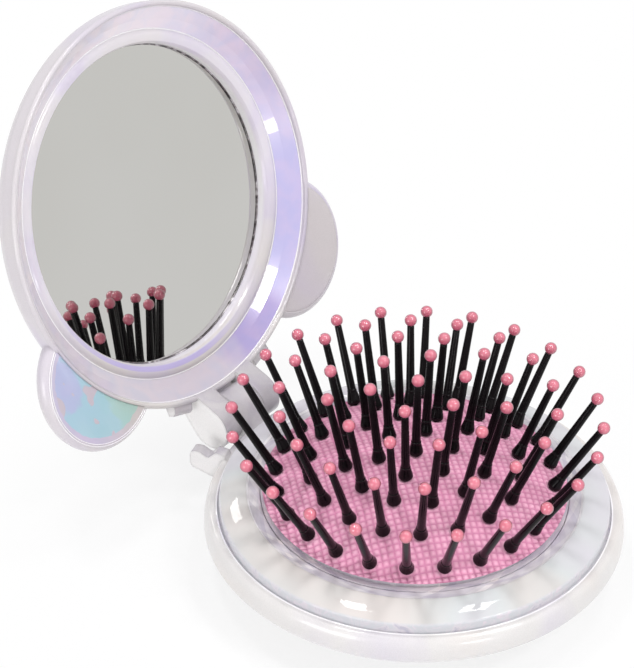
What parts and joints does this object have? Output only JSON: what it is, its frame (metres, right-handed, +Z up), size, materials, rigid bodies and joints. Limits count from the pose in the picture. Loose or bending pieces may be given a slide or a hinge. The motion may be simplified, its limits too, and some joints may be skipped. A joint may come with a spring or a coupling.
{
  "type": "folding pop-up hair brush with mirror",
  "caption": "Round folding hair brush: ball-tipped pins on a domed rubber pad that sinks into the base, under a hinged lid with a mirror and two round lobes.",
  "frame": {"origin": "centre of the base's underside, in the middle of the finger well's mouth", "axes": "+Z up out of the pad, +Y towards the hinge, +X to the right of someone who looks over the front of the base into the mirror"},
  "size_m": [0.0856, 0.1208, 0.0926],
  "materials": {
    "pearl_shell": "pearl white, gloss",
    "clear_pearl_ring": "translucent pearl, high gloss",
    "iridescent_film": "lilac iridescent under clear gloss",
    "lobe_film": "blue and teal iridescent, gloss",
    "lobe_pearl": "pale pearl, gloss",
    "bezel": "polished pearl",
    "mirror": "polished",
    "foam": "adhesive foam",
    "hinge_steel": "drawn steel",
    "carrier": "satin",
    "pad": "satin rubber with a woven grain",
    "pins": "satin black",
    "ball_tips": "satin"
  },
  "bodies": {
    "base": {"base_shell": "pearl_shell", "base_ring": "clear_pearl_ring"},
    "pad": {"pad_carrier": "carrier", "pad_cushion": "pad"},
    "lid": {"lid_shell": "pearl_shell", "lid_lobe_panel_left": "lobe_film", "lid_lobe_panel_right": "lobe_pearl", "lid_channel_ring": "iridescent_film", "mirror_bezel": "bezel", "mirror_glass": "mirror", "mirror_backing": "foam", "hinge_pin": "hinge_steel"},
    "pins_centre": {"pins_centre": "pins", "tips_centre": "ball_tips"},
    "pins_row_6": {"pins_row_6": "pins", "tips_row_6": "ball_tips"},
    "pins_row_12": {"pins_row_12": "pins", "tips_row_12": "ball_tips"},
    "pins_row_18_1": {"pins_row_18_1": "pins", "tips_row_18_1": "ball_tips"},
    "pins_row_18_2": {"pins_row_18_2": "pins", "tips_row_18_2": "ball_tips"},
    "pins_row_18_3": {"pins_row_18_3": "pins", "tips_row_18_3": "ball_tips"},
    "pins_row_18_4": {"pins_row_18_4": "pins", "tips_row_18_4": "ball_tips"},
    "pins_row_18_5": {"pins_row_18_5": "pins", "tips_row_18_5": "ball_tips"},
    "pins_row_18_6": {"pins_row_18_6": "pins", "tips_row_18_6": "ball_tips"},
    "pins_row_24_1": {"pins_row_24_1": "pins", "tips_row_24_1": "ball_tips"},
    "pins_row_24_2": {"pins_row_24_2": "pins", "tips_row_24_2": "ball_tips"},
    "pins_row_24_3": {"pins_row_24_3": "pins", "tips_row_24_3": "ball_tips"},
    "pins_row_24_4": {"pins_row_24_4": "pins", "tips_row_24_4": "ball_tips"},
    "pins_row_24_5": {"pins_row_24_5": "pins", "tips_row_24_5": "ball_tips"},
    "pins_row_24_6": {"pins_row_24_6": "pins", "tips_row_24_6": "ball_tips"},
    "pins_row_24_7": {"pins_row_24_7": "pins", "tips_row_24_7": "ball_tips"},
    "pins_row_24_8": {"pins_row_24_8": "pins", "tips_row_24_8": "ball_tips"}
  },
  "joints": [
    {"name": "lid_hinge", "type": "hinge", "parent": "base", "child": "lid", "pos_m": [0, 0.04446, 0.01421], "axis": [1, 0, 0], "range_deg": [0, 110]},
    {"name": "pad_slide", "type": "slide", "parent": "base", "child": "pad", "axis": [0, 0, 1], "range_m": [-0.01317, 0], "deforming": ["pad_cushion"]},
    {"name": "centre_pin_slide", "type": "slide", "parent": "base", "child": "pins_centre", "axis": [0, 0, 1], "range_m": [-0.02178, 0]},
    {"name": "row_6_slide", "type": "slide", "parent": "base", "child": "pins_row_6", "axis": [0, 0, 1], "range_m": [-0.02136, 0]},
    {"name": "row_12_slide", "type": "slide", "parent": "base", "child": "pins_row_12", "axis": [0, 0, 1], "range_m": [-0.02025, 0]},
    {"name": "row_18_1_lean", "type": "hinge", "parent": "base", "child": "pins_row_18_1", "pos_m": [0.08309, 0.03024, 0.01231], "axis": [-0.342, 0.9397, 0], "range_deg": [-15.25, 0]},
    {"name": "row_18_2_lean", "type": "hinge", "parent": "base", "child": "pins_row_18_2", "pos_m": [0.01535, 0.08708, 0.01231], "axis": [-0.9848, 0.1736, 0], "range_deg": [-15.25, 0]},
    {"name": "row_18_3_lean", "type": "hinge", "parent": "base", "child": "pins_row_18_3", "pos_m": [-0.06774, 0.05684, 0.01231], "axis": [-0.6428, -0.766, 0], "range_deg": [-15.25, 0]},
    {"name": "row_18_4_lean", "type": "hinge", "parent": "base", "child": "pins_row_18_4", "pos_m": [-0.08309, -0.03024, 0.01231], "axis": [0.342, -0.9397, 0], "range_deg": [-15.25, 0]},
    {"name": "row_18_5_lean", "type": "hinge", "parent": "base", "child": "pins_row_18_5", "pos_m": [-0.01535, -0.08708, 0.01231], "axis": [0.9848, -0.1736, 0], "range_deg": [-15.25, 0]},
    {"name": "row_18_6_lean", "type": "hinge", "parent": "base", "child": "pins_row_18_6", "pos_m": [0.06774, -0.05684, 0.01231], "axis": [0.6428, 0.766, 0], "range_deg": [-15.25, 0]},
    {"name": "row_24_1_lean", "type": "hinge", "parent": "base", "child": "pins_row_24_1", "pos_m": [0.06268, 0.02158, 0.01111], "axis": [-0.3256, 0.9455, 0], "range_deg": [-21.55, 0]},
    {"name": "row_24_2_lean", "type": "hinge", "parent": "base", "child": "pins_row_24_2", "pos_m": [0.02906, 0.05959, 0.01111], "axis": [-0.8988, 0.4384, 0], "range_deg": [-21.55, 0]},
    {"name": "row_24_3_lean", "type": "hinge", "parent": "base", "child": "pins_row_24_3", "pos_m": [-0.02158, 0.06268, 0.01111], "axis": [-0.9455, -0.3256, 0], "range_deg": [-21.55, 0]},
    {"name": "row_24_4_lean", "type": "hinge", "parent": "base", "child": "pins_row_24_4", "pos_m": [-0.05959, 0.02906, 0.01111], "axis": [-0.4384, -0.8988, 0], "range_deg": [-21.55, 0]},
    {"name": "row_24_5_lean", "type": "hinge", "parent": "base", "child": "pins_row_24_5", "pos_m": [-0.06268, -0.02158, 0.01111], "axis": [0.3256, -0.9455, 0], "range_deg": [-21.55, 0]},
    {"name": "row_24_6_lean", "type": "hinge", "parent": "base", "child": "pins_row_24_6", "pos_m": [-0.02906, -0.05959, 0.01111], "axis": [0.8988, -0.4384, 0], "range_deg": [-21.55, 0]},
    {"name": "row_24_7_lean", "type": "hinge", "parent": "base", "child": "pins_row_24_7", "pos_m": [0.02158, -0.06268, 0.01111], "axis": [0.9455, 0.3256, 0], "range_deg": [-21.55, 0]},
    {"name": "row_24_8_lean", "type": "hinge", "parent": "base", "child": "pins_row_24_8", "pos_m": [0.05959, -0.02906, 0.01111], "axis": [0.4384, 0.8988, 0], "range_deg": [-21.55, 0]}
  ],
  "couplings": [
    {"joint": "pad_slide", "follows": "lid_hinge", "m_per_rad": -0.0068494},
    {"joint": "centre_pin_slide", "follows": "lid_hinge", "m_per_rad": -0.011337},
    {"joint": "row_6_slide", "follows": "lid_hinge", "m_per_rad": -0.011115},
    {"joint": "row_12_slide", "follows": "lid_hinge", "m_per_rad": -0.01054},
    {"joint": "row_18_1_lean", "follows": "lid_hinge", "ratio": -0.13818},
    {"joint": "row_18_2_lean", "follows": "lid_hinge", "ratio": -0.13818},
    {"joint": "row_18_3_lean", "follows": "lid_hinge", "ratio": -0.13818},
    {"joint": "row_18_4_lean", "follows": "lid_hinge", "ratio": -0.13818},
    {"joint": "row_18_5_lean", "follows": "lid_hinge", "ratio": -0.13818},
    {"joint": "row_18_6_lean", "follows": "lid_hinge", "ratio": -0.13818},
    {"joint": "row_24_1_lean", "follows": "lid_hinge", "ratio": -0.19545},
    {"joint": "row_24_2_lean", "follows": "lid_hinge", "ratio": -0.19545},
    {"joint": "row_24_3_lean", "follows": "lid_hinge", "ratio": -0.19545},
    {"joint": "row_24_4_lean", "follows": "lid_hinge", "ratio": -0.19545},
    {"joint": "row_24_5_lean", "follows": "lid_hinge", "ratio": -0.19545},
    {"joint": "row_24_6_lean", "follows": "lid_hinge", "ratio": -0.19545},
    {"joint": "row_24_7_lean", "follows": "lid_hinge", "ratio": -0.19545},
    {"joint": "row_24_8_lean", "follows": "lid_hinge", "ratio": -0.19545}
  ]
}
